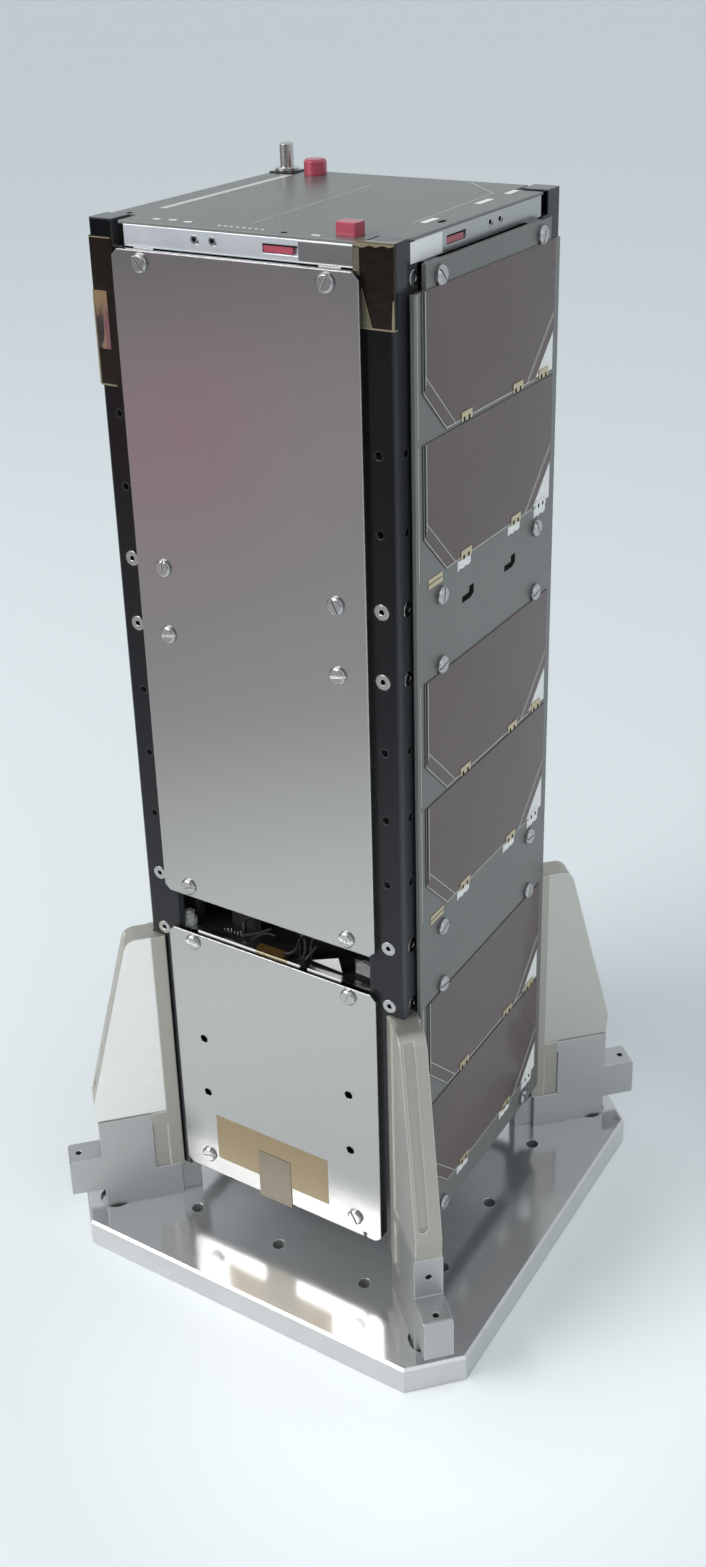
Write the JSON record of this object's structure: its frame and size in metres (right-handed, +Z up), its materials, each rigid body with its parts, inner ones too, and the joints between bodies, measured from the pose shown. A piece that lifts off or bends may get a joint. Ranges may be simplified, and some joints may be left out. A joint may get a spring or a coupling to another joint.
{
  "type": "satellite on ground stand",
  "caption": "Tall slim cube satellite with aluminium side covers and solar panels, standing upright on a square metal display base between corner brackets",
  "frame": {"origin": "centre of the underside of the square base plate", "axes": "+X to the side with the solar panel seen at the right of the picture, +Y away from the front covers, +Z up along the satellite"},
  "size_m": [0.161, 0.161, 0.3733],
  "materials": {
    "plate_metal": "polished, lightly brushed",
    "block_metal": "machined, cool grey",
    "guide_metal": "machined, warm grey chromate",
    "rail_black": "glossy hard black anodise",
    "frame_metal": "bright satin",
    "cover_metal": "smooth rolled sheet with a soft mirror",
    "circuit_board": "grey solder mask",
    "solar_cell": "dark violet cover glass",
    "red_plastic": "glossy red anodise",
    "pin_steel": "turned bright steel",
    "dark_plastic": "black sleeve"
  },
  "bodies": {
    "satellite": {"base_plate": "plate_metal", "foot_block_near": "block_metal", "foot_block_right": "block_metal", "foot_block_back": "block_metal", "foot_block_left": "block_metal", "corner_guide_near": "guide_metal", "corner_guide_right": "guide_metal", "corner_guide_back": "guide_metal", "corner_guide_left": "guide_metal", "rail_near": "rail_black", "rail_right": "rail_black", "rail_back": "rail_black", "rail_left": "rail_black", "frame_bottom": "frame_metal", "frame_lower_unit": "frame_metal", "frame_middle_low": "frame_metal", "frame_middle_high": "frame_metal", "frame_upper_unit": "frame_metal", "frame_top": "frame_metal", "front_cover_upper": "cover_metal", "front_cover_lower": "cover_metal", "solar_board_right": "circuit_board", "solar_board_back": "circuit_board", "solar_board_left": "circuit_board", "solar_cells_right": "solar_cell", "solar_cells_back": "solar_cell", "solar_cells_left": "solar_cell", "top_ring": "frame_metal", "ring_inserts": "red_plastic", "top_plate": "circuit_board", "separation_plunger": "pin_steel", "inner_deck": "circuit_board", "upper_deck": "circuit_board", "stack_posts": "pin_steel", "deck_connectors": "dark_plastic", "harness": "dark_plastic", "core_block": "frame_metal", "bottom_plate": "frame_metal"},
    "round_cap": {"cap_round": "red_plastic"},
    "square_cap": {"cap_square": "red_plastic"}
  },
  "joints": [
    {"name": "round_cap_pull", "type": "slide", "parent": "satellite", "child": "round_cap", "axis": [0, 0, 1], "range_m": [0, 0.012]},
    {"name": "square_cap_pull", "type": "slide", "parent": "satellite", "child": "square_cap", "axis": [0, 0, 1], "range_m": [0, 0.012]}
  ]
}
